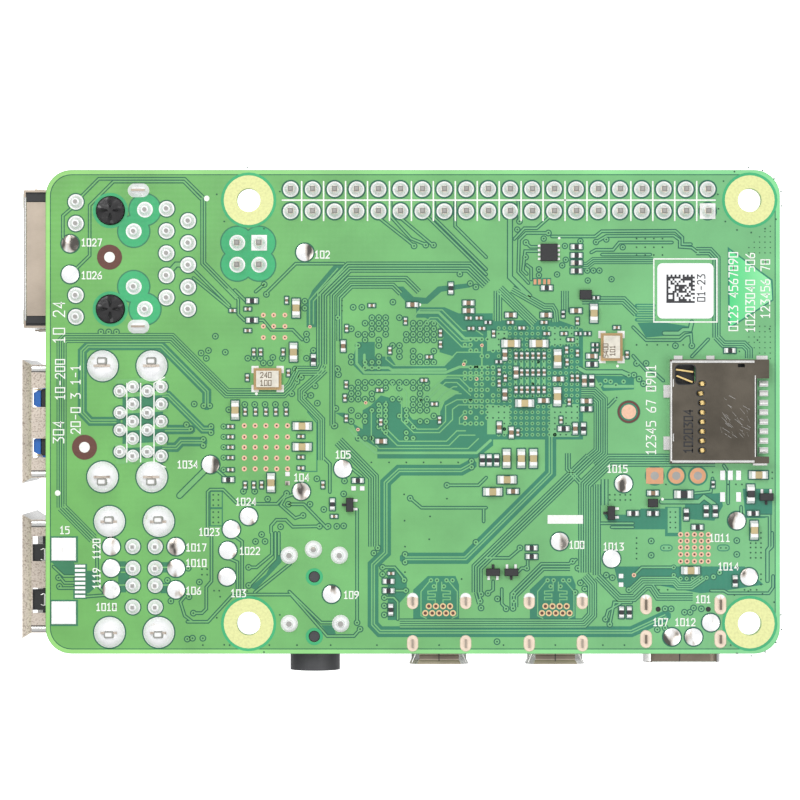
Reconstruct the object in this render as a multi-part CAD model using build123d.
from build123d import *
import math
import os

# Credit-card single board computer, one solid per physical piece, in millimetres.
# +Z is the component side, +X the plug-socket end, +Y the pin-header edge.
# The origin is the centre of the four mounting holes, on the board's underside.

# ---------------------------------------------------------------- driving dimensions
BOARD_LENGTH = 85.0
BOARD_WIDTH = 56.0
BOARD_THICK = 1.4
BOARD_CORNER = 3.0
MOUNT_SPACING_X = 58.0
MOUNT_SPACING_Y = 49.0
MOUNT_INSET = 3.5
MOUNT_HOLE_R = 1.35
PITCH = 2.54

BOARD_X0 = -MOUNT_SPACING_X / 2 - MOUNT_INSET
BOARD_X1 = BOARD_X0 + BOARD_LENGTH
BOARD_XC = (BOARD_X0 + BOARD_X1) / 2
TOP = BOARD_THICK

HEADER_COLUMNS = 20
HEADER_Y = 24.5
HEADER_BODY_H = 2.54
PIN_SIDE = 0.64
PIN_TAIL = 1.5
PIN_TOP = 8.54
PIN_HOLE_R = 0.5
POE_X = 29.05
POE_Y = 18.3

ETH_Y = 17.75
ETH_X0 = 33.9
ETH_X1 = 55.2
ETH_WIDTH = 16.0
ETH_HEIGHT = 13.5
ETH_SHEET = 0.25
ETH_CAVITY_W = 11.9
ETH_CAVITY_Z0 = TOP + 3.9
ETH_CAVITY_Z1 = TOP + 10.9
ETH_CAVITY_DEPTH = 14.5
ETH_LATCH_W = 6.4
ETH_LATCH_DROP = 2.2
ETH_WIRES = 8
ETH_WIRE_PITCH = 1.02
ETH_WIRE_R = 0.2
ETH_PIVOT_X = 53.3
ETH_PIVOT_Z = ETH_CAVITY_Z1 + 0.35
ETH_PEG_R = 1.6
ETH_PEG_HOLE_R = 1.7
ETH_PEGS = [(45.0, 23.3), (45.0, 11.9)]
ETH_TAB_X = 41.75
ETH_LIGHT_DY = 6.75
ETH_FLOOR_HALF = 6.6
ETH_FLOOR_X0 = 51.2
ETH_FOOT_DY = 7.08
ETH_FINGER_X = 52.6
ETH_FINGER_LEN = 3.4
ETH_WIRE_DROP = 2.2
ETH_LIGHT_PINS = [(49.0, 24.3), (49.0, 21.8), (49.0, 13.5), (49.0, 11.0)]
ETH_LINE_PINS = [(41.0, 23.4), (42.3, 20.9), (42.3, 14.5), (41.0, 11.9)]
ETH_BACK_PINS = [(38.5, 23.5 - 2.57 * i) for i in range(5)] + [(36.0, 22.1 - 2.55 * i) for i in range(5)]
ETH_PINS = ETH_LIGHT_PINS + ETH_LINE_PINS + ETH_BACK_PINS
ETH_PIN_R = 0.25
ETH_PIN_HOLE_R = 0.42

USB_X0 = 37.5
USB_X1 = 55.3
USB_WIDTH = 13.14
USB_HEIGHT = 16.0
USB_SHEET = 0.3
USB_LIP = 0.63
USB_LIP_LEN = 1.0
USB_PORT_Z = (TOP + 4.0, TOP + 11.9)
USB_OPENING_H = 5.12
USB_TONGUE_W = 11.1
USB_TONGUE_H = 1.84
USB_TONGUE_RISE = 0.75
USB_TONGUE_FRONT = 53.4
USB_BLOCK_FRONT = 43.6
USB_PIVOT_X = 45.2
USB_PIVOT_UP = 0.35
USB_SPRING_LEN = 6.6
USB_SPRING_DROP = 0.8
USB_SPRING_X = (3.5, 1.0, -1.0, -3.5)
USB3_Y = -1.1
USB2_Y = -19.1
USB3_PINS = [(x, USB3_Y + dy) for x in (43.9, 40.7) for dy in (3.5, 1.0, -1.0, -3.5)]
USB3_PINS += [(x, USB3_Y + 2.0 * i) for x in (42.4, 39.1) for i in range(-2, 3)]
USB2_PINS = [(x, USB2_Y + dy) for x in (42.4, 39.8) for dy in (3.5, 1.0, -1.0, -3.5)]
USB_PIN_SIDE = 0.4
USB_PIN_HOLE_R = 0.4
USB3_LEG_X = (45.9, 40.2)
USB2_LEG_X = (45.1, 39.4)
USB_LEG_W = 1.9
USB_LEG_DROP = 1.25
USB_WINDOW_BACK = 46.5
USB_WINDOW_FRONT = 54.15
USB_DIVIDER_FRONT = 54.2

USBC_X = -21.3
USBC_Y0 = -29.1
USBC_WIDTH = 8.94
USBC_HEIGHT = 3.26
USBC_DEPTH = 7.35
USBC_SHEET = 0.3
USBC_LEG_X = (-17.0, -25.6)
USBC_LEG_Y = (-22.3, -26.3)
USBC_PEGS = [(-18.4, -22.85), (-24.2, -22.85)]
USBC_PEG_R = 0.27
USBC_PEG_HOLE_R = 0.3

HDMI_X = (6.95, -6.55)
HDMI_Y0 = -29.3
HDMI_WIDTH = 6.4
HDMI_HEIGHT = 2.95
HDMI_DEPTH = 7.6
HDMI_SHEET = 0.25
HDMI_LEG_DX = 3.07
HDMI_LEG_Y = (-21.9, -26.8)

JACK_X = 21.4
JACK_BODY_W = 7.0
JACK_BODY_Y0 = -28.0
JACK_BODY_Y1 = -15.2
JACK_BODY_H = 6.0
JACK_BARREL_R = 2.9
JACK_BARREL_Y0 = -30.1
JACK_BORE_R = 1.8
JACK_BORE_LEN = 5.6
JACK_CAVITY_R = 2.3
JACK_CAVITY_LEN = 8.0
JACK_Z = TOP + 3.0
JACK_PINS = [(24.3, -16.6), (21.5, -15.9), (18.5, -16.6), (24.3, -24.5), (18.35, -24.5)]
JACK_PEGS = [(21.4, -19.1), (21.4, -26.0)]
JACK_PEG_R = 0.6
JACK_PEG_HOLE_R = 0.66
JACK_PIN_R = 0.32
JACK_PIN_HOLE_R = 0.5
JACK_SPRING_ROOT_Y = -17.8
JACK_SPRING_ROOT_Z = JACK_Z + 2.3

RIBBON_LEN = 22.0
RIBBON_BODY_W = 3.8
RIBBON_BODY_H = 4.0
RIBBON_CONTACTS = 15
RIBBON_PITCH = 1.0
RIBBON_SLOT_LEN = 16.4
RIBBON_LATCH_H = 1.5
CAMERA_AT = (14.0, -16.5)
DISPLAY_AT = (-28.5, 0.0)

CARD_X0 = -31.1
CARD_X1 = -19.65
CARD_Y0 = -5.95
CARD_Y1 = 6.05
CARD_HEIGHT = 1.42
CARD_SHEET = 0.2
CARD_BASE = 0.42
CARD_CONTACTS = 8
CARD_PITCH = 1.1
CARD_FIRST_Y = 3.25
CARD_PIVOT_X = -29.3
CARD_PIVOT_Z = -0.24
CARD_TIP_X = -23.3
CARD_TIP_Z = -0.86
CARD_STRIP = 0.5
CARD_DETECT_Y = 4.3

SOC_AT = (-3.5, 4.6)
SOC_SIDE = 15.0
SOC_BOARD_H = 0.85
SOC_LID_SIDE = 13.6
SOC_LID_H = 1.25
MEMORY_AT = (12.6, 4.6)
MEMORY_SIZE = (10.0, 14.5, 0.95)
CAN_AT = (-20.0, 13.5)
CAN_SIZE = (11.8, 9.4, 1.6)
USB_CHIP_AT = (27.0, -4.1)
USB_CHIP_SIZE = (8.0, 8.0, 0.9)
PHY_AT = (26.1, 9.9)
PHY_SIZE = (7.0, 7.0, 0.9)
POWER_CHIP_AT = (-22.6, -15.8)
POWER_CHIP_SIZE = (5.0, 5.0, 0.9)

CHIP_SIZE = {"0201": (0.6, 0.32, 0.3), "0402": (1.0, 0.52, 0.42), "0603": (1.6, 0.84, 0.75)}

# Small parts under the board: (x, y, runs along Y)
UNDER_CAPS_0603 = [
    (23.5, 12.0, True), (23.8, 6.9, True), (30.55, 0.2, True), (22.8, -4.05, False),
    (26.4, -8.2, True), (-1.35, 7.9, False), (-4.6, 7.9, False), (-6.75, 6.15, True),
    (-6.72, 1.75, True), (-2.95, 1.0, False), (-10.95, 11.4, True), (-0.85, -5.4, True),
    (-2.55, -5.4, True), (-3.95, -5.4, True), (0.75, -9.25, False), (-30.0, -7.3, False),
    (-29.5, -13.7, True), (-22.15, -18.35, False), (22.8, -1.65, False), (-0.9, -7.85, False),
]
UNDER_CAPS_0402 = [
    (10.05, 12.4, False), (3.55, 12.6, False), (3.55, 11.7, False), (18.05, 7.6, True),
    (13.65, -3.4, False), (-8.9, 11.7, False), (-1.35, 11.2, False), (-5.45, 11.2, False),
    (-0.65, 6.6, True), (-1.95, 4.55, True), (-6.85, 3.8, False), (-0.65, 2.0, True),
    (-5.15, 1.3, False), (-10.75, 6.45, False), (-9.85, 3.6, True), (-10.1, 1.25, False),
    (-8.8, -1.95, True), (0.0, -1.8, True), (-1.4, -2.4, True), (-17.8, -9.4, False),
    (-1.6, -9.2, False),
]
UNDER_CAPS_0201 = [
    (29.1, 11.9, False), (29.1, 9.4, False), (30.85, 11.72, False), (24.6, 12.9, True),
    (28.4, 6.9, True), (27.6, 6.9, True), (25.0, 6.9, True), (29.15, 3.95, True), (24.4, 4.5, True),
    (14.75, 12.3, False), (10.85, 10.5, True), (17.65, 9.65, True), (12.65, 7.1, True),
    (6.8, 9.1, True), (6.8, 7.8, True), (17.7, 3.15, True), (17.85, 1.6, True), (8.1, 6.35, False),
    (8.7, 3.65, False), (13.85, 2.5, False), (7.5, 0.9, False), (17.7, -0.75, True),
    (13.7, -1.2, True), (6.9, -0.95, True), (12.5, -18.7, False), (3.55, 10.85, False),
    (2.35, 10.85, False), (3.25, 9.65, False), (2.0, 9.65, False), (-9.05, 10.5, True),
    (-1.3, 10.35, False), (-5.2, 10.35, False), (-2.6, 9.7, False), (0.65, 9.05, True),
    (-5.5, 9.05, False), (-7.5, 9.05, False), (-8.25, 8.35, False), (-7.8, 7.15, True),
    (-9.05, 6.8, True), (-7.85, 5.75, True), (0.0, 4.6, True), (0.0, 3.3, True), (-0.7, 3.9, True),
    (-8.45, 3.9, True), (-9.05, 3.9, True), (-8.1, 1.15, True), (-7.15, -0.95, True),
    (-2.15, -2.4, True), (-13.6, 9.75, False), (-14.8, 6.6, True), (19.1, -12.1, False),
    (20.4, -8.45, True), (22.95, -2.85, False), (22.95, -5.25, False), (22.95, -6.5, False),
    (29.4, -8.5, True), (28.4, -8.5, True), (27.5, -8.45, True),
]
UNDER_CAPS_0201 += [(x, 0.0, True) for x in (29.4, 28.2, 27.0, 25.85, 24.65)]
UNDER_CAPS_0201 += [(31.1, y, False) for y in (-1.7, -2.9, -4.1, -5.3, -6.7)]
UNDER_CAPS_0201 += [(-1.95 - 0.65 * i, y, True) for y in (6.5, 2.55) for i in range(6)]
UNDER_CAPS_0201 += [(-2.6 - 0.65 * i, 4.55, True) for i in range(5)]
UNDER_RESISTORS_0402 = [
    (28.6, 12.85, False), (28.6, 10.6, False), (21.5, 6.0, True), (19.3, -10.7, True),
    (31.35, -7.85, False), (1.95, -5.6, True), (1.15, -5.6, True), (0.3, -5.6, True),
    (16.35, -7.95, False), (12.8, -19.6, False), (12.8, -20.7, False), (12.55, -22.9, True),
    (-10.75, 5.5, False), (-10.7, 3.6, True), (-10.1, 0.35, False), (-7.45, -1.95, False),
    (-9.75, -1.95, True), (-3.75, -15.75, False), (-3.75, -16.75, False), (-14.15, -23.2, True),
    (-15.05, -23.2, True), (-15.5, -11.75, False), (-17.8, -11.75, False), (-21.65, -11.9, True),
    (-23.95, -11.5, True), (-25.0, -11.5, True), (-22.95, -13.35, False), (-29.4, -11.75, False),
    (-27.3, -19.6, True), (-26.7, 7.1, False), (-5.5, 14.35, False), (5.6, 14.3, True),
    (-8.95, 19.1, False), (-8.95, 18.1, False), (-8.95, 17.25, False), (-8.95, 16.3, False),
]
UNDER_RESISTORS_0201 = [
    (-7.4, 11.3, True), (1.3, 10.35, False), (-9.15, 9.05, False), (-10.2, 9.05, False),
    (0.05, 5.8, False), (-11.1, 7.75, False), (-11.1, 7.15, False), (-11.2, 13.2, False),
    (-24.75, -8.4, True),
]
UNDER_RESISTORS_0603 = [(-21.35, -9.55, False), (-29.1, -9.5, True)]
# Transistors under the board: (x, y, quarter turns)
UNDER_TRANSISTORS = [
    (17.3, -10.75, 1), (0.72, -18.55, 2), (-1.4, -18.55, 0), (-12.95, -11.7, 1), (-30.9, -9.85, 0),
]
CRYSTALS = [(26.8, 3.8, False), (-13.0, 7.5, True)]
CRYSTAL_SIZE = (3.2, 2.5, 0.5)
CRYSTAL_LID = (2.6, 1.9, 0.28)

TEST_PADS = [
    (49.65, 19.45), (49.65, 15.9), (22.5, 18.45), (33.4, -6.1), (22.9, -9.2), (18.1, -6.6),
    (29.0, -12.1), (31.0, -13.6), (31.4, -16.05), (31.5, -19.1), (-7.0, -15.0), (-13.0, -17.0),
    (-14.4, -8.3), (-27.5, -12.6), (-28.9, -19.1), (-24.5, -24.4), (-20.0, -26.05),
    (-22.5, -26.05), (19.4, -21.1),
]
TEST_PADS += [(x, y) for x in (44.9, 37.4) for y in (-15.6, -18.1, -20.6)]
TEST_PAD_R = 1.0
TEST_PAD_FOOT = 0.1
TEST_PAD_RISE = 0.2
SPARE_PADS_AT = [(50.4, -15.9), (50.4, -23.25)]
SPARE_HOLES = [(-18.0, -7.4), (-20.5, -7.4), (-23.0, -7.4)]
SPARE_HOLE_R = 0.48

LABEL_X = (-24.8, -18.3)
LABEL_Y = (10.8, 17.2)
LABEL_THICK = 0.1


# ---------------------------------------------------------------- shape helpers
def block(x0, x1, y0, y1, z0, z1):
    """Box between two corners."""
    return Pos((x0 + x1) / 2, (y0 + y1) / 2, (z0 + z1) / 2) * Box(x1 - x0, y1 - y0, z1 - z0)


def slab(xc, yc, z0, size):
    """Box of the given size standing on height z0."""
    return Pos(xc, yc, z0 + size[2] / 2) * Box(*size)


def upright(x, y, z0, z1, radius):
    """Vertical cylinder between two heights."""
    return Pos(x, y, (z0 + z1) / 2) * Cylinder(radius, z1 - z0)


def moved(shapes, x, y, z=0.0):
    """Copies of one or more solids at another place."""
    return [s.moved(Location((x, y, z))) for s in shapes]


def solids_of(shape):
    """Every solid in a shape or a list of shapes."""
    if isinstance(shape, (list, tuple)):
        return [s for part in shape for s in part.solids()]
    return list(shape.solids())


def stadium(p, q, radius):
    """Outline of a strip with round ends between two points of a plane."""
    dx, dy = q[0] - p[0], q[1] - p[1]
    middle = Pos((p[0] + q[0]) / 2, (p[1] + q[1]) / 2)
    turn = Rot(0, 0, math.degrees(math.atan2(dy, dx)))
    return middle * turn * SlotCenterToCenter(math.hypot(dx, dy), 2 * radius)


def strip_along_x(points, radius, y, width):
    """Bent flat strip through (x, z) points, with the given width across Y."""
    profile = stadium(points[0], points[1], radius)
    for p, q in zip(points[1:], points[2:]):
        profile = profile + stadium(p, q, radius)
    return Pos(0, y, 0) * extrude(Plane.XZ * profile, width / 2, both=True)


def header_places(columns, rows, xc, yc):
    """Pin centres of a header at the standard pitch."""
    xs = [xc + (i - (columns - 1) / 2) * PITCH for i in range(columns)]
    ys = [yc + (j - (rows - 1) / 2) * PITCH for j in range(rows)]
    return [(x, y) for x in xs for y in ys]


HEADER_PINS = header_places(HEADER_COLUMNS, 2, 0.0, HEADER_Y)
POE_PINS = header_places(2, 2, POE_X, POE_Y)


# ---------------------------------------------------------------- board
def leg_slots():
    """Each slot for a shell leg: (x, y, length, width, runs along Y)."""
    slots = [(ETH_TAB_X, ETH_Y + s * (ETH_WIDTH - ETH_SHEET) / 2, 2.1, 0.8, False) for s in (1, -1)]
    wall = USB_WIDTH / 2 - USB_SHEET / 2
    slots += [(x, USB3_Y + s * wall, 2.5, 1.0, False) for x in USB3_LEG_X for s in (1, -1)]
    slots += [(x, USB2_Y + s * wall, 2.5, 1.0, False) for x in USB2_LEG_X for s in (1, -1)]
    slots += [(x, USBC_LEG_Y[0], 1.7, 0.7, True) for x in USBC_LEG_X]
    slots += [(x, USBC_LEG_Y[1], 1.5, 0.7, True) for x in USBC_LEG_X]
    display_legs = [xc + s * HDMI_LEG_DX for xc in HDMI_X for s in (1, -1)]
    slots += [(x, y, 1.3, 0.65, True) for x in display_legs for y in HDMI_LEG_Y]
    return slots


def slot_outline(x, y, length, width, along_y):
    """Round-ended slot lying on the board plane."""
    return Pos(x, y) * SlotOverall(length, width, rotation=90 if along_y else 0)


def board():
    """Board with its mounting holes, pin holes, leg slots and locating holes."""
    dx, dy = MOUNT_SPACING_X / 2, MOUNT_SPACING_Y / 2
    holes = [(sx * dx, sy * dy, MOUNT_HOLE_R) for sx in (1, -1) for sy in (1, -1)]
    holes += [(x, y, PIN_HOLE_R) for x, y in HEADER_PINS + POE_PINS]
    holes += [(x, y, ETH_PIN_HOLE_R) for x, y in ETH_PINS]
    holes += [(x, y, ETH_PEG_HOLE_R) for x, y in ETH_PEGS]
    holes += [(x, y, USB_PIN_HOLE_R) for x, y in USB3_PINS + USB2_PINS]
    holes += [(x, y, USBC_PEG_HOLE_R) for x, y in USBC_PEGS]
    holes += [(x, y, JACK_PIN_HOLE_R) for x, y in JACK_PINS]
    holes += [(x, y, JACK_PEG_HOLE_R) for x, y in JACK_PEGS]
    holes += [(x, y, SPARE_HOLE_R) for x, y in SPARE_HOLES]
    outline = Pos(BOARD_XC, 0) * RectangleRounded(BOARD_LENGTH, BOARD_WIDTH, BOARD_CORNER)
    outline = outline - [Pos(x, y) * Circle(r) for x, y, r in holes]
    outline = outline - [slot_outline(*s) for s in leg_slots()]
    return extrude(outline, BOARD_THICK)


# ---------------------------------------------------------------- pin headers
def square_pin(z0, z1):
    """Square post with tapered ends, centred on the Z axis."""
    post = slab(0, 0, z0, (PIN_SIDE, PIN_SIDE, z1 - z0))
    ends = post.faces().sort_by(Axis.Z)
    return chamfer(ends[0].edges() + ends[-1].edges(), 0.16)


def header_body(columns, rows, xc, yc):
    """Plastic strip with a bevelled cell round each pin and a hole for it."""
    cell = slab(0, 0, TOP, (PITCH, PITCH, HEADER_BODY_H))
    cell = chamfer(cell.edges().filter_by(Axis.Z), 0.4)
    cell = cell - slab(0, 0, TOP, (PIN_SIDE, PIN_SIDE, HEADER_BODY_H))
    cells = [moved([cell], x, y)[0] for x, y in header_places(columns, rows, xc, yc)]
    core_w = rows * PITCH - 0.8
    core = slab(xc, yc, TOP, (columns * PITCH - 0.8, core_w, HEADER_BODY_H))
    cut = slab(0, 0, TOP, (PIN_SIDE, PIN_SIDE, HEADER_BODY_H))
    core = core - [moved([cut], x, y)[0] for x, y in header_places(columns, rows, xc, yc)]
    return core + cells


def header_pins(places):
    """One square pin at each place, from the solder tail to the tip."""
    pin = solids_of(square_pin(-PIN_TAIL, TOP + PIN_TOP))
    return [moved(pin, x, y)[0] for x, y in places]


# ---------------------------------------------------------------- network socket
def ethernet_shield():
    """Stamped box over the socket, with a front window, finger tabs and two board tabs."""
    x0, x1 = ETH_X0, ETH_X1
    y0, y1 = ETH_Y - ETH_WIDTH / 2, ETH_Y + ETH_WIDTH / 2
    z1 = TOP + ETH_HEIGHT
    t = ETH_SHEET
    box = block(x0, x1, y0, y1, TOP, z1)
    box = box - block(x0 + t, x1 - t, y0 + t, y1 - t, TOP, z1 - t)
    half = ETH_CAVITY_W / 2 + 0.2
    box = box - block(x1 - t, x1, ETH_Y - half, ETH_Y + half, ETH_CAVITY_Z0 - 2.4, ETH_CAVITY_Z1 + 0.2)
    for side in (1, -1):
        light_y = ETH_Y + side * ETH_LIGHT_DY
        box = box - block(x1 - t, x1, light_y - 1.0, light_y + 1.0, TOP + t, TOP + 3.8)
    for side in (1, -1):
        wall_y = ETH_Y + side * (ETH_WIDTH / 2 - t / 2)
        box = box + slab(ETH_TAB_X, wall_y, -1.15, (1.6, t, TOP + 1.15))
        for z in (TOP + 4.5, TOP + 8.5):
            finger = Pos(ETH_FINGER_X, ETH_Y + side * (ETH_WIDTH / 2 + 0.1), z) * Rot(0, 0, side * 5)
            box = box + finger * Box(ETH_FINGER_LEN, 0.2, 1.4)
    for y in (ETH_Y - 3.6, ETH_Y + 3.6):
        box = box + Pos(ETH_FINGER_X, y, z1 + 0.1) * Rot(0, -5, 0) * Box(ETH_FINGER_LEN, 1.4, 0.2)
    return box + block(ETH_FLOOR_X0, x1 - t, ETH_Y - ETH_FLOOR_HALF, ETH_Y + ETH_FLOOR_HALF, TOP, TOP + t)


def ethernet_housing():
    """Moulded insert with the plug cavity, wire pocket, light bays and locating pegs."""
    t = ETH_SHEET
    x0, x1 = ETH_X0 + t, ETH_X1 - t
    y0, y1 = ETH_Y - ETH_WIDTH / 2 + t, ETH_Y + ETH_WIDTH / 2 - t
    body = block(x0, x1, y0, y1, TOP + t, TOP + ETH_HEIGHT - t)
    for side in (1, -1):
        foot_y = ETH_Y + side * ETH_FOOT_DY
        body = body + block(50.5, x1, foot_y - 0.4, foot_y + 0.4, TOP, TOP + t)
    back = x1 - ETH_CAVITY_DEPTH
    half = ETH_CAVITY_W / 2
    body = body - block(back, x1, ETH_Y - half, ETH_Y + half, ETH_CAVITY_Z0, ETH_CAVITY_Z1)
    latch = ETH_LATCH_W / 2
    body = body - block(back, x1, ETH_Y - latch, ETH_Y + latch, ETH_CAVITY_Z0 - ETH_LATCH_DROP, ETH_CAVITY_Z0)
    comb = ETH_WIRES * ETH_WIRE_PITCH / 2 + 0.2
    pocket_z = ETH_CAVITY_Z1
    body = body - block(45.0, ETH_PIVOT_X + 0.4, ETH_Y - comb, ETH_Y + comb, pocket_z, pocket_z + 1.0)
    for side in (1, -1):
        light_y = ETH_Y + side * ETH_LIGHT_DY
        body = body - block(x1 - 4.0, x1, light_y - 0.9, light_y + 0.9, TOP + 0.3, TOP + 3.5)
    body = body + [upright(x, y, -0.35, TOP + t, ETH_PEG_R) for x, y in ETH_PEGS]
    body = body - [upright(x, y, TOP, TOP + 2.0, ETH_PIN_R) for x, y in ETH_PINS]
    return body


def ethernet_springs():
    """Eight sprung wires that slope back and down from the roof of the cavity."""
    tip = (46.9, ETH_CAVITY_Z1 - ETH_WIRE_DROP)
    points = [(ETH_PIVOT_X, ETH_PIVOT_Z), tip, (46.0, ETH_CAVITY_Z1 - ETH_WIRE_DROP - 0.05)]
    first = ETH_Y - (ETH_WIRES - 1) * ETH_WIRE_PITCH / 2
    return [strip_along_x(points, ETH_WIRE_R, first + i * ETH_WIRE_PITCH, 0.4) for i in range(ETH_WIRES)]


def ethernet_pins():
    """Round solder pins of the network socket."""
    return [upright(x, y, -1.1, TOP + 2.0, ETH_PIN_R) for x, y in ETH_PINS]


def ethernet_lights():
    """Two clear light blocks in the lower corners of the socket's face."""
    lights = []
    for side in (1, -1):
        light_y = ETH_Y + side * ETH_LIGHT_DY
        light = block(51.0, ETH_X1 + 0.1, light_y - 0.85, light_y + 0.85, TOP + 0.35, TOP + 3.45)
        lights.append(light)
    return lights


# ---------------------------------------------------------------- stacked socket pairs
def usb_shell(yc, leg_x, window_half, window_offsets):
    """Folded steel shell with a flared mouth, windows in its floor and four board legs."""
    half = USB_WIDTH / 2
    t = USB_SHEET
    z1 = TOP + USB_HEIGHT
    lip_x = USB_X1 - USB_LIP_LEN
    shell = block(USB_X0, lip_x, yc - half, yc + half, TOP, z1)
    shell = shell - block(USB_X0 + t, lip_x, yc - half + t, yc + half - t, TOP + t, z1 - t)
    shell = shell + usb_lip(yc, half, z1)
    shell = shell - block(USB_X0 + t, 45.0, yc - half + t, yc + half - t, TOP, TOP + t)
    for offset in window_offsets:
        y0, y1 = yc + offset - window_half, yc + offset + window_half
        shell = shell - block(USB_WINDOW_BACK, USB_WINDOW_FRONT, y0, y1, TOP, TOP + t)
    for x in leg_x:
        for side in (1, -1):
            wall_y = yc + side * (half - t / 2)
            shell = shell + slab(x, wall_y, -USB_LEG_DROP, (USB_LEG_W, t, TOP + USB_LEG_DROP))
    return shell


def usb_lip(yc, half, z1):
    """Thin frame at the mouth that opens outwards all the way round."""
    t = USB_SHEET
    flare = USB_LIP
    zc = (TOP + z1) / 2
    height = z1 - TOP
    back = Plane(origin=(USB_X1 - USB_LIP_LEN, yc, zc), x_dir=(0, 1, 0), z_dir=(1, 0, 0))
    front = Plane(origin=(USB_X1, yc, zc), x_dir=(0, 1, 0), z_dir=(1, 0, 0))
    outer = loft([
        back * Rectangle(2 * half, height),
        front * Rectangle(2 * (half + flare), height + 2 * flare),
    ])
    inner_w, inner_h = 2 * (half - t), height - 2 * t
    inner = loft([
        back * Rectangle(inner_w, inner_h),
        front * Rectangle(inner_w + 2 * flare, inner_h + 2 * flare),
    ])
    return outer - inner


def usb_tongue_z(port_z):
    """Lower and upper face heights of the contact tongue in a port."""
    centre = port_z + USB_TONGUE_RISE
    return centre - USB_TONGUE_H / 2, centre + USB_TONGUE_H / 2


def usb_insulator(yc, pins):
    """Rear block with one grooved contact tongue for each port."""
    half = USB_WIDTH / 2 - USB_SHEET
    z0, z1 = TOP + USB_SHEET, TOP + USB_HEIGHT - USB_SHEET
    body = block(USB_X0 + USB_SHEET, USB_BLOCK_FRONT, yc - half, yc + half, z0, z1)
    for port_z in USB_PORT_Z:
        z0, z1 = usb_tongue_z(port_z)
        w = USB_TONGUE_W / 2
        tongue = block(USB_BLOCK_FRONT, USB_TONGUE_FRONT, yc - w, yc + w, z0, z1)
        nose = tongue.faces().sort_by(Axis.X)[-1].edges().filter_by(Axis.Y)
        tongue = chamfer(nose, 0.4)
        for dy in USB_SPRING_X:
            y = yc + dy
            tongue = tongue - block(USB_PIVOT_X - 0.5, 52.6, y - 0.65, y + 0.65, z0, z0 + 0.65)
        body = body + tongue
    s = USB_PIN_SIDE / 2
    body = body - [block(x - s, x + s, y - s, y + s, TOP + USB_SHEET, TOP + 1.5) for x, y in pins]
    return body


def usb_springs(yc, port_z):
    """Four flat springs that hang below the tongue and press up into its grooves."""
    z0 = usb_tongue_z(port_z)[0]
    bend = (USB_PIVOT_X + USB_SPRING_LEN, z0 + USB_PIVOT_UP - USB_SPRING_DROP)
    end = (bend[0] + 0.6, bend[1] + 0.35)
    points = [(USB_PIVOT_X, z0 + USB_PIVOT_UP), bend, end]
    return [strip_along_x(points, 0.1, yc + dy, 1.0) for dy in USB_SPRING_X]


def usb_pins(pins):
    """Fixed solder tails that come down from the rear block."""
    s = USB_PIN_SIDE / 2
    return [block(x - s, x + s, y - s, y + s, -1.1, TOP + 1.5) for x, y in pins]


def usb_divider(yc):
    """Folded steel sheet that closes the face between the two ports of a stack."""
    half = USB_WIDTH / 2 - USB_SHEET
    z0 = USB_PORT_Z[0] + USB_OPENING_H / 2
    z1 = USB_PORT_Z[1] - USB_OPENING_H / 2
    t = USB_SHEET
    front = USB_DIVIDER_FRONT
    sheet = block(USB_BLOCK_FRONT, front, yc - half, yc + half, z0, z1)
    return sheet - block(USB_BLOCK_FRONT, front - t, yc - half, yc + half, z0 + t, z1 - t)


# ---------------------------------------------------------------- small plug sockets
def usbc_shell():
    """Drawn steel tube of flat-oval section with four board legs and a closed back."""
    y0, y1 = USBC_Y0, USBC_Y0 + USBC_DEPTH
    zc = TOP + USBC_HEIGHT / 2
    front = Plane(origin=(USBC_X, y0, zc), x_dir=(1, 0, 0), z_dir=(0, 1, 0))
    outer = extrude(front * RectangleRounded(USBC_WIDTH, USBC_HEIGHT, 1.25), USBC_DEPTH)
    t = USBC_SHEET
    inner_section = RectangleRounded(USBC_WIDTH - 2 * t, USBC_HEIGHT - 2 * t, 1.25 - t)
    shell = outer - extrude(front * inner_section, USBC_DEPTH - t)
    shell = shell - block(USBC_X - 3.2, USBC_X + 3.2, y1 - 2.2, y1, TOP, TOP + t)
    for x in USBC_LEG_X:
        side = 1 if x > USBC_X else -1
        wall = USBC_X + side * (USBC_WIDTH / 2 - t / 2)
        for y, w in ((USBC_LEG_Y[0], 1.2), (USBC_LEG_Y[1], 1.0)):
            shell = shell + slab(wall, y, -0.45, (t, w, TOP + 0.45 + 1.25))
    return shell


def usbc_tongue():
    """Rear block and thin tongue, with the two locating pegs under it."""
    t = USBC_SHEET
    zc = TOP + USBC_HEIGHT / 2
    y1 = USBC_Y0 + USBC_DEPTH - t
    back = Plane(origin=(USBC_X, y1, zc), x_dir=(1, 0, 0), z_dir=(0, 1, 0))
    section = RectangleRounded(USBC_WIDTH - 2 * t, USBC_HEIGHT - 2 * t, 1.25 - t)
    core = extrude(back * section, -1.6)
    tongue = block(USBC_X - 3.35, USBC_X + 3.35, USBC_Y0 + 0.8, y1 - 1.0, zc - 0.35, zc + 0.35)
    pegs = [upright(x, y, 0.1, TOP + 1.0, USBC_PEG_R) for x, y in USBC_PEGS]
    foot = block(USBC_X - 3.2, USBC_X + 3.2, y1 - 1.6, y1, TOP, TOP + 1.0)
    body = core + tongue + foot
    return body + pegs


def usbc_contacts():
    """Gold strips on both faces of the tongue."""
    zc = TOP + USBC_HEIGHT / 2
    strips = []
    for i in range(12):
        x = USBC_X + (i - 5.5) * 0.5
        strips.append(block(x - 0.13, x + 0.13, USBC_Y0 + 1.2, USBC_Y0 + 4.6, zc + 0.35, zc + 0.41))
        strips.append(block(x - 0.13, x + 0.13, USBC_Y0 + 1.2, USBC_Y0 + 4.6, zc - 0.41, zc - 0.35))
    return strips


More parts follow.
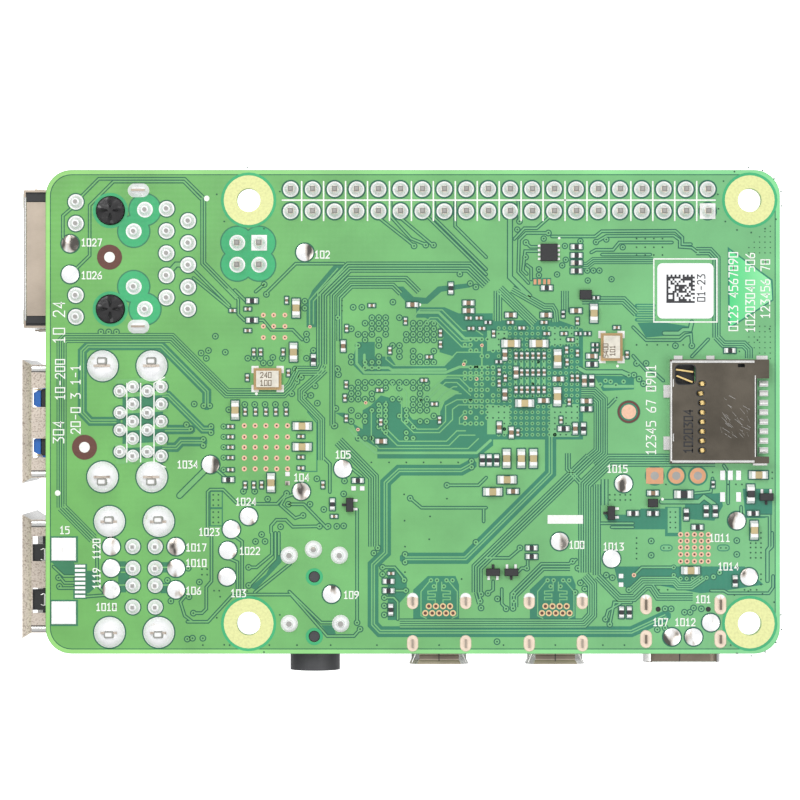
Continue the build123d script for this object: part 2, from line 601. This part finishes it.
def hdmi_section(width, height, bevel):
    """Cross-section of the display socket, narrower at the bottom."""
    w, h = width / 2, height / 2
    points = [(w, h), (-w, h), (-w, -h + bevel), (-w + bevel, -h), (w - bevel, -h), (w, -h + bevel)]
    return Polygon(*points, align=None)


def hdmi_shell(xc):
    """Folded steel tube with bevelled lower corners, a small flared mouth and legs."""
    zc = TOP + HDMI_HEIGHT / 2
    t = HDMI_SHEET
    front = Plane(origin=(xc, HDMI_Y0 + 0.5, zc), x_dir=(1, 0, 0), z_dir=(0, -1, 0))
    depth = HDMI_DEPTH - 0.5
    outer = extrude(front * hdmi_section(HDMI_WIDTH, HDMI_HEIGHT, 0.9), -depth)
    inner = extrude(front * hdmi_section(HDMI_WIDTH - 2 * t, HDMI_HEIGHT - 2 * t, 0.75), t - depth)
    shell = outer - inner + hdmi_lip(xc, zc)
    for side in (1, -1):
        wall = xc + side * (HDMI_WIDTH / 2 - t / 2)
        for y in HDMI_LEG_Y:
            shell = shell + slab(wall, y, -0.4, (t, 1.0, TOP + 0.4 + 1.3))
    return shell


def hdmi_lip(xc, zc):
    """Short flare at the mouth of the display socket."""
    t = HDMI_SHEET
    back = Plane(origin=(xc, HDMI_Y0 + 0.5, zc), x_dir=(1, 0, 0), z_dir=(0, -1, 0))
    front = Plane(origin=(xc, HDMI_Y0, zc), x_dir=(1, 0, 0), z_dir=(0, -1, 0))
    flare = 0.25
    outer = loft([
        back * hdmi_section(HDMI_WIDTH, HDMI_HEIGHT, 0.9),
        front * hdmi_section(HDMI_WIDTH + 2 * flare, HDMI_HEIGHT + 2 * flare, 0.9),
    ])
    w, h = HDMI_WIDTH - 2 * t, HDMI_HEIGHT - 2 * t
    inner = loft([
        back * hdmi_section(w, h, 0.75),
        front * hdmi_section(w + 2 * flare, h + 2 * flare, 0.75),
    ])
    return outer - inner


def hdmi_tongue(xc):
    """Rear block and contact tongue inside a display socket."""
    t = HDMI_SHEET
    zc = TOP + HDMI_HEIGHT / 2
    y1 = HDMI_Y0 + HDMI_DEPTH - t
    half = HDMI_WIDTH / 2 - t
    core = block(xc - half, xc + half, y1 - 2.0, y1, zc - 0.3, TOP + HDMI_HEIGHT - t)
    return core + block(xc - 2.1, xc + 2.1, HDMI_Y0 + 1.4, y1 - 2.0, zc - 0.05, zc + 0.55)


def hdmi_contacts(xc):
    """Ten upper and nine lower gold strips on a display tongue."""
    zc = TOP + HDMI_HEIGHT / 2
    y0 = HDMI_Y0 + 1.8
    strips = []
    for i in range(10):
        x = xc + (i - 4.5) * 0.4
        strips.append(block(x - 0.1, x + 0.1, y0, y0 + 3.0, zc + 0.55, zc + 0.6))
    for i in range(9):
        x = xc + (i - 4) * 0.4
        strips.append(block(x - 0.1, x + 0.1, y0, y0 + 3.0, zc - 0.1, zc - 0.05))
    return strips


# ---------------------------------------------------------------- audio socket
def jack_body():
    """Moulded audio socket: box, round barrel, plug bore, spring pocket and two pegs."""
    half = JACK_BODY_W / 2
    top = TOP + JACK_BODY_H
    body = block(JACK_X - half, JACK_X + half, JACK_BODY_Y0, JACK_BODY_Y1, TOP, top)
    body = fillet(body.edges().filter_by(Axis.Y).group_by(Axis.Z)[-1], 0.4)
    mouth = Plane(origin=(JACK_X, JACK_BARREL_Y0, JACK_Z), x_dir=(1, 0, 0), z_dir=(0, 1, 0))
    body = body + extrude(mouth * Circle(JACK_BARREL_R), JACK_BODY_Y0 - JACK_BARREL_Y0)
    body = body - extrude(mouth * Circle(JACK_BORE_R), JACK_BORE_LEN)
    inner = Plane(origin=(JACK_X, JACK_BARREL_Y0 + JACK_BORE_LEN, JACK_Z), x_dir=(1, 0, 0), z_dir=(0, 1, 0))
    body = body - extrude(inner * Circle(JACK_CAVITY_R), JACK_CAVITY_LEN)
    pocket_y, pocket_z = JACK_SPRING_ROOT_Y + 0.4, JACK_SPRING_ROOT_Z + 0.35
    body = body - block(JACK_X - 1.9, JACK_X + 1.9, -23.6, pocket_y, JACK_Z, pocket_z)
    body = body + [upright(x, y, 0.15, TOP, JACK_PEG_R) for x, y in JACK_PEGS]
    return body - [upright(x, y, TOP, TOP + 1.2, JACK_PIN_R) for x, y in JACK_PINS]


def jack_pins():
    """Five round solder tails of the audio socket."""
    return [upright(x, y, -1.2, TOP + 1.2, JACK_PIN_R) for x, y in JACK_PINS]


def jack_springs():
    """Three leaf springs over the bore that the plug lifts."""
    springs = []
    for i, reach in enumerate((3.4, 4.3, 5.2)):
        bend = (JACK_SPRING_ROOT_Y - reach, JACK_Z + JACK_BORE_R - 0.35)
        points = [(JACK_SPRING_ROOT_Y, JACK_SPRING_ROOT_Z), bend, (bend[0] - 0.3, bend[1] + 0.2)]
        profile = stadium(points[0], points[1], 0.1) + stadium(points[1], points[2], 0.1)
        strip = extrude(Plane.YZ * profile, 0.4, both=True)
        springs.append(Pos(JACK_X + (i - 1) * 1.15, 0, 0) * strip)
    return springs


# ---------------------------------------------------------------- ribbon sockets
def ribbon_body():
    """Upright ribbon socket, standing on the board about its own centre."""
    half_l, half_w = RIBBON_LEN / 2, RIBBON_BODY_W / 2
    top = TOP + RIBBON_BODY_H
    body = block(-half_w, half_w, -half_l, half_l, TOP + 0.2, top)
    body = chamfer(body.edges().filter_by(Axis.Z), 0.3)
    slot = RIBBON_SLOT_LEN / 2
    body = body - block(-1.05, 0.95, -slot, slot, TOP + 0.9, top)
    body = body - block(-1.05, -0.55, -slot + 0.5, slot - 0.5, TOP + 0.2, top)
    for side in (1, -1):
        y = side * 9.7
        body = body - block(-0.85, 0.85, y - 0.75, y + 0.75, TOP + 0.9, top)
        foot_y = side * (half_l - 0.75)
        body = body + block(-half_w, half_w, foot_y - 0.4, foot_y + 0.4, TOP, TOP + 0.2)
    return body


def ribbon_latch():
    """Cap bar with a wedge and two guide legs; it lifts straight up to free a ribbon."""
    z0 = TOP + RIBBON_BODY_H + 0.05
    half_l = RIBBON_LEN / 2
    bar = block(-1.7, 1.7, -half_l + 0.4, half_l - 0.4, z0, z0 + RIBBON_LATCH_H)
    bar = chamfer(bar.edges().group_by(Axis.Z)[-1], 0.25)
    bar = bar - block(-1.0, 0.05, -8.1, 8.1, z0, z0 + RIBBON_LATCH_H)
    bar = bar + block(0.15, 0.8, -8.0, 8.0, z0 - 2.6, z0)
    for side in (1, -1):
        y = side * 9.7
        bar = bar + block(-0.75, 0.75, y - 0.65, y + 0.65, z0 - 2.9, z0)
        ear = side * (half_l - 0.2)
        bar = bar + block(-1.2, 1.2, ear - 0.25, ear + 0.25, z0 + 0.35, z0 + 1.1)
    return bar


def ribbon_contacts():
    """Fifteen contacts with flat feet that come out at one side of the socket."""
    contacts = []
    for i in range(RIBBON_CONTACTS):
        y = (i - (RIBBON_CONTACTS - 1) / 2) * RIBBON_PITCH
        foot = block(-2.8, -0.7, y - 0.15, y + 0.15, TOP, TOP + 0.15)
        beam = block(-0.95, -0.7, y - 0.15, y + 0.15, TOP + 0.15, TOP + 3.4)
        contacts.append(foot + beam)
    return contacts


# ---------------------------------------------------------------- memory-card socket
def card_ys():
    """Row positions of the card contacts."""
    return [CARD_FIRST_Y - CARD_PITCH * i for i in range(CARD_CONTACTS)]


def card_shell():
    """Thin steel cover under the board with contact windows, a relief and folded tabs."""
    t = CARD_SHEET
    z0 = -CARD_HEIGHT
    plate = block(CARD_X0, CARD_X1, CARD_Y0, CARD_Y1, z0, z0 + t)
    plate = plate - block(CARD_X0, -29.6, CARD_FIRST_Y - 7 * CARD_PITCH - 0.7, CARD_FIRST_Y + 0.6, z0, z0 + t)
    for i, y in enumerate(card_ys()):
        x = -23.15 if i == 1 else -23.35
        plate = plate - extrude(Pos(x, y, z0) * SlotOverall(0.85, 0.62), t)
    window = Pos(-21.45, 4.3, z0) * RectangleRounded(2.3, 2.2, 0.5)
    plate = plate - extrude(window, t)
    plate = plate - block(-28.3, -27.5, 5.15, 5.55, z0, z0 + t)
    for y in (CARD_Y0, CARD_Y1 - t):
        plate = plate + block(CARD_X0 + 1.6, CARD_X1, y, y + t, z0, -0.02)
    plate = plate + block(CARD_X1 - t, CARD_X1, CARD_Y0, CARD_Y1, z0, -0.02)
    tabs = [
        (-21.2, -20.2, CARD_Y1, CARD_Y1 + 0.45), (-24.9, -23.95, CARD_Y1, CARD_Y1 + 0.45),
        (-31.05, -29.75, CARD_Y1 - t, CARD_Y1 + 0.45), (-31.0, -29.35, CARD_Y0 - 0.25, CARD_Y0 + t),
        (CARD_X1, CARD_X1 + 0.65, 1.65, 3.1), (CARD_X1, CARD_X1 + 0.65, -4.4, -2.85),
    ]
    for x0, x1, y0, y1 in tabs:
        plate = plate + block(x0, x1, y0, y1, -0.22, -0.02)
    for y in (CARD_Y0, CARD_Y1 - t):
        plate = plate + block(-31.05, -29.4, y, y + t, z0, -0.02)
    return plate


def card_base():
    """Thin moulded frame against the board, slotted for the springs."""
    t = CARD_SHEET
    base = block(CARD_X0 + 1.3, CARD_X1 - t - 0.02, CARD_Y0 + t + 0.02, CARD_Y1 - t - 0.02, -CARD_BASE, -0.01)
    for y in card_ys():
        base = base - block(CARD_PIVOT_X - 0.3, CARD_TIP_X + 1.2, y - 0.38, y + 0.38, -CARD_BASE, -0.01)
    base = base - block(-22.75, -20.1, CARD_DETECT_Y - 1.05, CARD_DETECT_Y + 1.05, -CARD_BASE, -0.01)
    return base


def card_springs():
    """Eight contact springs that slope out of the base into the card space."""
    root = (CARD_PIVOT_X, CARD_PIVOT_Z)
    tip = (CARD_TIP_X, CARD_TIP_Z)
    points = [root, tip, (CARD_TIP_X + 0.7, CARD_TIP_Z + 0.3)]
    return [strip_along_x(points, 0.08, y, CARD_STRIP) for y in card_ys()]


def card_tails():
    """Eight flat solder feet at the mouth of the socket."""
    return [block(CARD_X0, CARD_X0 + 1.0, y - 0.33, y + 0.33, -0.3, -0.01) for y in card_ys()]


def card_detect():
    """Two thin blades behind the corner window that a seated card pushes together."""
    blades = []
    for dy, turn in ((0.45, 8), (-0.5, 22)):
        blade = Pos(-21.4, CARD_DETECT_Y + dy, -0.5) * Rot(0, 0, turn) * Box(2.0, 0.18, 0.5)
        blades.append(blade)
    return blades


# ---------------------------------------------------------------- chips
def heat_spreader():
    """Stepped metal lid of the processor with rounded corners."""
    x, y = SOC_AT
    z = TOP + SOC_BOARD_H
    flange = extrude(Pos(x, y, z) * RectangleRounded(SOC_LID_SIDE, SOC_LID_SIDE, 1.2), SOC_LID_H * 0.45)
    crown = extrude(Pos(x, y, z) * RectangleRounded(SOC_LID_SIDE - 1.8, SOC_LID_SIDE - 1.8, 1.0), SOC_LID_H)
    crown = chamfer(crown.edges().group_by(Axis.Z)[-1], 0.2)
    return flange + crown


def package(at, size, bevel=0.12):
    """Moulded chip package on the component side with softened top edges."""
    body = slab(at[0], at[1], TOP, size)
    return chamfer(body.edges().group_by(Axis.Z)[-1], bevel)


def shield_can():
    """Closed metal can with rounded vertical corners and a shallow lid step."""
    x, y = CAN_AT
    w, d, h = CAN_SIZE
    body = extrude(Pos(x, y, TOP) * RectangleRounded(w, d, 0.7), h)
    body = fillet(body.edges().group_by(Axis.Z)[-1], 0.25)
    return body - extrude(Pos(x, y, TOP) * RectangleRounded(w - 0.4, d - 0.4, 0.5), h - 0.25)


def chip_part(kind, along_y, under):
    """Two-terminal chip part at the origin: a body with slightly proud end caps."""
    length, width, height = CHIP_SIZE[kind]
    cap = length * 0.24
    body = Box(length - 2 * cap, width - 0.04, height - 0.04)
    ends = [Pos(s * (length - cap) / 2, 0, 0) * Box(cap, width, height) for s in (1, -1)]
    part = Pos(0, 0, height / 2 if not under else -height / 2) * (body + ends)
    lift = 0.02 if under else -0.02
    part = Pos(0, 0, -lift) * part
    return Rot(0, 0, 90 if along_y else 0) * part


def chip_group(lists, under):
    """Every chip part of several lists, as (kind, places) pairs."""
    parts = []
    z = 0.0 if under else TOP
    for kind, places in lists:
        made = {turn: solids_of(chip_part(kind, turn, under)) for turn in (False, True)}
        for x, y, turn in places:
            parts += moved(made[turn], x, y, z)
    return parts


def transistor(quarter_turns, under=True):
    """Three-lead transistor at the origin, body and bent leads in one piece."""
    body = slab(0, 0, 0.08, (1.6, 0.85, 0.65))
    body = chamfer(body.edges().group_by(Axis.Z)[-1], 0.08)
    leads = [(-0.5, -0.62), (0.5, -0.62), (0.0, 0.62)]
    for x, y in leads:
        body = body + slab(x, y, 0.0, (0.28, 0.56, 0.16))
    if under:
        body = Rot(180, 0, 0) * body
    return Rot(0, 0, 90 * quarter_turns) * body


def transistor_group():
    """The small transistors under the board."""
    return [moved(solids_of(transistor(turns)), x, y)[0] for x, y, turns in UNDER_TRANSISTORS]


def under_package(x, y, size):
    """Moulded package hanging under the board."""
    body = Pos(x, y, -size[2] / 2) * Box(*size)
    return chamfer(body.edges().group_by(Axis.Z)[0], 0.08)


def under_chips():
    """Small multi-lead packages under the board."""
    leads = []
    body = under_package(-5.75, 18.45, (2.0, 2.0, 0.55))
    for side in (1, -1):
        for i in range(4):
            y = 18.45 + (i - 1.5) * 0.5
            x = -5.75 + side * 1.12
            leads.append(Pos(x, y, -0.1) * Box(0.3, 0.26, 0.2))
    switch = under_package(-10.0, 13.55, (1.4, 1.1, 0.5))
    regulator = under_package(-17.78, -10.55, (1.15, 0.95, 0.6))
    return [body + leads, switch, regulator]


def crystal(x, y, along_y):
    """Ceramic-cased crystal with a metal lid."""
    base = Pos(0, 0, -CRYSTAL_SIZE[2] / 2) * Box(*CRYSTAL_SIZE)
    lid = Pos(0, 0, -CRYSTAL_SIZE[2] - CRYSTAL_LID[2] / 2) * Box(*CRYSTAL_LID)
    return Pos(x, y, 0) * Rot(0, 0, 90 if along_y else 0) * (base + lid)


# ---------------------------------------------------------------- component-side small parts
def row(x0, y0, step_x, step_y, count, along_y):
    """Evenly spaced chip places in a line."""
    return [(x0 + step_x * i, y0 + step_y * i, along_y) for i in range(count)]


TOP_CAPS_0402 = (
    row(5.8, -1.6, 0, 1.35, 10, False) + row(-9.6, 13.9, 1.55, 0, 9, True)
    + row(-12.7, -1.6, 0, 1.4, 7, False)
    + row(-9.6, -5.0, 1.55, 0, 9, True) + row(19.3, -1.0, 0, 1.5, 9, False) + row(8.6, 13.7, 1.4, 0, 7, True)
    + row(23.6, 1.7, 1.3, 0, 6, True) + row(23.6, -9.9, 1.3, 0, 6, True)
)
TOP_CAPS_0603 = (
    row(-25.3, -11.9, 2.4, 0, 3, True) + row(-27.4, -17.6, 0, 2.2, 2, True)
    + row(-14.6, -20.4, 0, 2.6, 3, True) + row(30.8, -14.0, 0, -2.6, 3, False)
)
TOP_RESISTORS_0402 = (
    row(4.6, -19.9, 1.2, 0, 5, True) + row(-8.9, -19.9, 1.2, 0, 5, True) + row(21.3, -7.2, 0, 1.3, 6, False)
    + row(20.9, 6.6, 0, 1.3, 6, False) + row(-11.0, 16.6, 1.5, 0, 8, False) + row(-24.6, 5.6, 1.5, 0, 6, True)
    + row(-24.6, 3.6, 1.5, 0, 6, True) + row(19.6, 16.6, 0, 1.2, 3, False)
)
TOP_INDUCTORS = [
    (-17.3, -14.0, (2.5, 2.0, 1.2)), (-17.3, -17.2, (2.5, 2.0, 1.2)), (-10.6, -12.0, (3.0, 3.0, 1.5)),
    (-10.6, -16.2, (3.0, 3.0, 1.5)), (33.0, -21.6, (3.2, 2.5, 1.6)), (-18.0, -8.4, (2.5, 2.0, 1.2)),
]
TOP_SMALL_CHIPS = [
    (33.9, -25.6, (2.9, 1.6, 1.1)), (-3.2, -12.4, (3.0, 3.0, 0.9)), (2.6, -12.4, (2.0, 2.0, 0.7)),
    (33.4, 2.6, (2.0, 1.3, 0.9)), (20.8, 20.6, (2.0, 1.3, 0.8)), (-15.8, 3.9, (2.0, 2.0, 0.7)),
]
STATUS_LEDS = [(-31.2, -19.6), (-31.2, -17.9)]


# ---------------------------------------------------------------- solder
def solder_cone(pad_r, hole_r, tip_r, drop):
    """Concave solder fillet under the board with the plug of solder in the hole."""
    bow = (tip_r + (pad_r - tip_r) * 0.62, -drop * 0.3)
    edge = ThreePointArc((pad_r, -0.04), bow, (tip_r, -drop))
    plug = [(0, -drop), (0, TOP), (hole_r, TOP), (hole_r, 0)]
    rest = Polyline((tip_r, -drop), *plug, (pad_r, 0), (pad_r, -0.04))
    return revolve(Plane.XZ * make_face(edge + rest), Axis.Z)


def pin_joint(pad_r, hole_r, drop, pin):
    """Solder fillet at the origin with the pin's own shape taken out."""
    joint = solder_cone(pad_r, hole_r, 0.42, drop)
    return solids_of(joint - pin)


def leg_joint(pad_r, drop, leg_w, leg_t, slot):
    """Solder dome over a shell leg at the origin, with the slot below it filled."""
    sphere_r = (pad_r ** 2 + drop ** 2) / (2 * drop)
    dome = Pos(0, 0, sphere_r - drop) * Sphere(sphere_r) & Pos(0, 0, -drop) * Box(9, 9, 2 * drop)
    fill = extrude(SlotOverall(slot[0], slot[1]), TOP)
    leg = slab(0, 0, -3, (leg_w, leg_t, TOP + 3))
    return solids_of(dome + fill - leg)


def oval_joint(pad, slot, leg, drop, along_y):
    """Low solder mound over a small leg, long way along X or Y."""
    mound = extrude(SlotOverall(pad[0], pad[1]), -drop, taper=38)
    body = mound + extrude(SlotOverall(slot[0], slot[1]), TOP)
    body = body - slab(0, 0, -3, (leg[0], leg[1], TOP + 3))
    return solids_of(Rot(0, 0, 90 if along_y else 0) * body)


def header_solder():
    """Solder of the two pin headers."""
    post = slab(0, 0, -3, (PIN_SIDE, PIN_SIDE, TOP + 3))
    joint = pin_joint(0.78, PIN_HOLE_R, 1.05, post)
    return [s for x, y in HEADER_PINS + POE_PINS for s in moved(joint, x, y)]


def socket_pin_solder():
    """Solder of the network, stacked and audio socket pins."""
    round_pin = upright(0, 0, -3, TOP, ETH_PIN_R)
    joint = pin_joint(0.76, ETH_PIN_HOLE_R, 0.8, round_pin)
    joints = [s for x, y in ETH_PINS for s in moved(joint, x, y)]
    tail = slab(0, 0, -3, (USB_PIN_SIDE, USB_PIN_SIDE, TOP + 3))
    joint = pin_joint(0.64, USB_PIN_HOLE_R, 0.8, tail)
    joints += [s for x, y in USB3_PINS for s in moved(joint, x, y)]
    joint = pin_joint(0.78, USB_PIN_HOLE_R, 0.8, tail)
    joints += [s for x, y in USB2_PINS for s in moved(joint, x, y)]
    joint = pin_joint(0.94, JACK_PIN_HOLE_R, 0.75, upright(0, 0, -3, TOP, JACK_PIN_R))
    return joints + [s for x, y in JACK_PINS for s in moved(joint, x, y)]


def shell_leg_solder():
    """Solder mounds over the legs and tabs of every metal shell."""
    wall = USB_WIDTH / 2 - USB_SHEET / 2
    joint = leg_joint(1.76, 1.1, USB_LEG_W, USB_SHEET, (2.5, 1.0))
    spots = [(x, USB3_Y + s * wall) for x in USB3_LEG_X for s in (1, -1)]
    spots += [(x, USB2_Y + s * wall) for x in USB2_LEG_X for s in (1, -1)]
    joints = [s for x, y in spots for s in moved(joint, x, y)]
    joint = oval_joint((2.5, 1.6), (2.1, 0.8), (1.6, ETH_SHEET), 0.55, False)
    for side in (1, -1):
        y = ETH_Y + side * (ETH_WIDTH - ETH_SHEET) / 2
        joints += moved(joint, ETH_TAB_X, y)
    return joints + small_leg_solder()


def small_leg_solder():
    """Solder of the display and power socket legs."""
    joints = []
    for x in USBC_LEG_X:
        side = 1 if x > USBC_X else -1
        wall = USBC_X + side * (USBC_WIDTH / 2 - USBC_SHEET / 2)
        for y, w, pad, slot in ((USBC_LEG_Y[0], 1.2, 2.35, 1.7), (USBC_LEG_Y[1], 1.0, 2.1, 1.5)):
            body = extrude(SlotOverall(pad, 1.4, rotation=90), -0.12, taper=30)
            body = Pos(x, y, 0) * (body + extrude(SlotOverall(slot, 0.7, rotation=90), TOP))
            joints += solids_of(body - slab(wall, y, -3, (USBC_SHEET, w, TOP + 3)))
    for xc in HDMI_X:
        for side in (1, -1):
            wall = xc + side * (HDMI_WIDTH / 2 - HDMI_SHEET / 2)
            for y in HDMI_LEG_Y:
                body = extrude(SlotOverall(1.92, 1.33, rotation=90), -0.12, taper=30)
                body = body + extrude(SlotOverall(1.3, 0.65, rotation=90), TOP)
                body = Pos(xc + side * HDMI_LEG_DX, y, 0) * body
                joints += solids_of(body - slab(wall, y, -3, (HDMI_SHEET, 1.0, TOP + 3)))
    return joints


def pad_dome():
    """Thin round foot with a shallow cap below it, at the origin."""
    low = TEST_PAD_FOOT + TEST_PAD_RISE
    sphere_r = (TEST_PAD_R ** 2 + TEST_PAD_RISE ** 2) / (2 * TEST_PAD_RISE)
    ball = Pos(0, 0, sphere_r - low) * Sphere(sphere_r)
    cap = ball & block(-2, 2, -2, 2, -low, -TEST_PAD_FOOT)
    return cap + upright(0, 0, -TEST_PAD_FOOT, 0, TEST_PAD_R)


def pad_solder():
    """Solder domes on the test pads and the coated pads of the unused footprints."""
    dome = solids_of(pad_dome())
    parts = [s for x, y in TEST_PADS for s in moved(dome, x, y)]
    for x, y in SPARE_PADS_AT:
        pad = Pos(x, y, -0.09) * Box(2.85, 2.65, 0.18)
        parts.append(fillet(pad.edges().group_by(Axis.Z)[0], 0.12))
    for i in range(8):
        parts.append(Pos(48.5, -17.85 - 0.5 * i, -0.05) * Box(1.2, 0.3, 0.1))
    for x, y in ((24.5, -7.2), (24.5, -8.25), (16.85, -8.85), (15.85, -8.85), (-14.1, -19.0), (-14.1, -20.0)):
        parts.append(Pos(x, y, -0.06) * Box(0.52, 0.5, 0.12))
    for x, y in ((-25.85, -7.35), (-26.75, -7.35), (-27.7, -7.35), (-25.85, -9.85), (-27.7, -9.85)):
        parts.append(Pos(x, y, -0.06) * Box(0.55, 1.1, 0.12))
    return parts


def label():
    """Paper label with rounded corners, stuck under the board."""
    xc, yc = sum(LABEL_X) / 2, sum(LABEL_Y) / 2
    outline = Pos(xc, yc) * RectangleRounded(LABEL_X[1] - LABEL_X[0], LABEL_Y[1] - LABEL_Y[0], 0.6)
    return extrude(outline, -LABEL_THICK)


# ---------------------------------------------------------------- assembly
def at_both(shapes):
    """One copy for the camera socket and one for the display socket."""
    solids = solids_of(shapes)
    return moved(solids, *CAMERA_AT) + moved(solids, *DISPLAY_AT)


def sockets():
    """Nodes of the network, stacked, power, display and audio sockets."""
    nodes = {
        "ethernet_shield": ethernet_shield(),
        "ethernet_housing": ethernet_housing(),
        "ethernet_spring_contacts": ethernet_springs(),
        "ethernet_pins": ethernet_pins(),
        "ethernet_light_blocks": ethernet_lights(),
        "usb3_shell": usb_shell(USB3_Y, USB3_LEG_X, 1.1, (2.75, -3.1)),
        "usb3_insulator": usb_insulator(USB3_Y, USB3_PINS),
        "usb3_pins": usb_pins(USB3_PINS),
        "usb2_shell": usb_shell(USB2_Y, USB2_LEG_X, 1.45, (3.2, -2.8)),
        "usb2_insulator": usb_insulator(USB2_Y, USB2_PINS),
        "usb2_pins": usb_pins(USB2_PINS),
        "usb_port_dividers": [usb_divider(USB3_Y), usb_divider(USB2_Y)],
        "usb_c_shell": usbc_shell(),
        "usb_c_tongue": usbc_tongue(),
        "usb_c_contacts": usbc_contacts(),
        "micro_hdmi_shells": [hdmi_shell(x) for x in HDMI_X],
        "micro_hdmi_tongues": [hdmi_tongue(x) for x in HDMI_X],
        "micro_hdmi_contacts": [s for x in HDMI_X for s in hdmi_contacts(x)],
        "audio_jack_body": jack_body(),
        "audio_jack_pins": jack_pins(),
        "audio_jack_springs": jack_springs(),
    }
    for name, yc in (("usb3", USB3_Y), ("usb2", USB2_Y)):
        for level, port_z in zip(("lower", "upper"), USB_PORT_Z):
            nodes[f"{name}_{level}_contacts"] = usb_springs(yc, port_z)
    return nodes


def headers_and_ribbons():
    """Nodes of the pin headers, ribbon sockets and card socket."""
    return {
        "gpio_header_body": header_body(HEADER_COLUMNS, 2, 0.0, HEADER_Y),
        "gpio_header_pins": header_pins(HEADER_PINS),
        "poe_header_body": header_body(2, 2, POE_X, POE_Y),
        "poe_header_pins": header_pins(POE_PINS),
        "ribbon_socket_bodies": at_both(ribbon_body()),
        "ribbon_socket_contacts": at_both(ribbon_contacts()),
        "camera_latch": moved(solids_of(ribbon_latch()), *CAMERA_AT),
        "display_latch": moved(solids_of(ribbon_latch()), *DISPLAY_AT),
        "card_socket_shell": card_shell(),
        "card_socket_base": card_base(),
        "card_spring_contacts": card_springs(),
        "card_solder_tails": card_tails(),
        "card_detect_blades": card_detect(),
    }


def chips():
    """Nodes of the chips and small parts on both sides of the board."""
    under_caps = [("0603", UNDER_CAPS_0603), ("0402", UNDER_CAPS_0402), ("0201", UNDER_CAPS_0201)]
    under_res = [("0603", UNDER_RESISTORS_0603), ("0402", UNDER_RESISTORS_0402)]
    under_res.append(("0201", UNDER_RESISTORS_0201))
    substrate = slab(SOC_AT[0], SOC_AT[1], TOP, (SOC_SIDE, SOC_SIDE, SOC_BOARD_H))
    return {
        "processor_substrate": substrate,
        "processor_lid": heat_spreader(),
        "memory_chip": package(MEMORY_AT, MEMORY_SIZE),
        "wireless_shield_can": shield_can(),
        "usb_controller_chip": package(USB_CHIP_AT, USB_CHIP_SIZE),
        "ethernet_transceiver_chip": package(PHY_AT, PHY_SIZE),
        "power_manager_chip": package(POWER_CHIP_AT, POWER_CHIP_SIZE),
        "top_small_chips": [package((x, y), size) for x, y, size in TOP_SMALL_CHIPS],
        "top_inductors": [package((x, y), size, 0.25) for x, y, size in TOP_INDUCTORS],
        "top_capacitors": chip_group([("0603", TOP_CAPS_0603), ("0402", TOP_CAPS_0402)], False),
        "top_resistors": chip_group([("0402", TOP_RESISTORS_0402)], False),
        "status_leds": [package(at, (1.0, 0.6, 0.5), 0.08) for at in STATUS_LEDS],
        "under_capacitors": chip_group(under_caps, True),
        "under_resistors": chip_group(under_res, True),
        "under_transistors": transistor_group(),
        "under_small_chips": under_chips(),
        "under_crystals": [crystal(*c) for c in CRYSTALS],
    }


def write(name, shape):
    """One STEP file per node, with every solid of the node in it."""
    export_step(Compound(children=solids_of(shape)), f"parts/{name}.step")


os.makedirs("parts", exist_ok=True)
NODES = {"pcb": board()}
NODES.update(headers_and_ribbons())
NODES.update(sockets())
NODES.update(chips())
NODES["pin_solder"] = header_solder() + socket_pin_solder()
NODES["shell_leg_solder"] = shell_leg_solder()
NODES["pad_solder"] = pad_solder()
NODES["id_label"] = label()
for node_name, node_shape in NODES.items():
    write(node_name, node_shape)
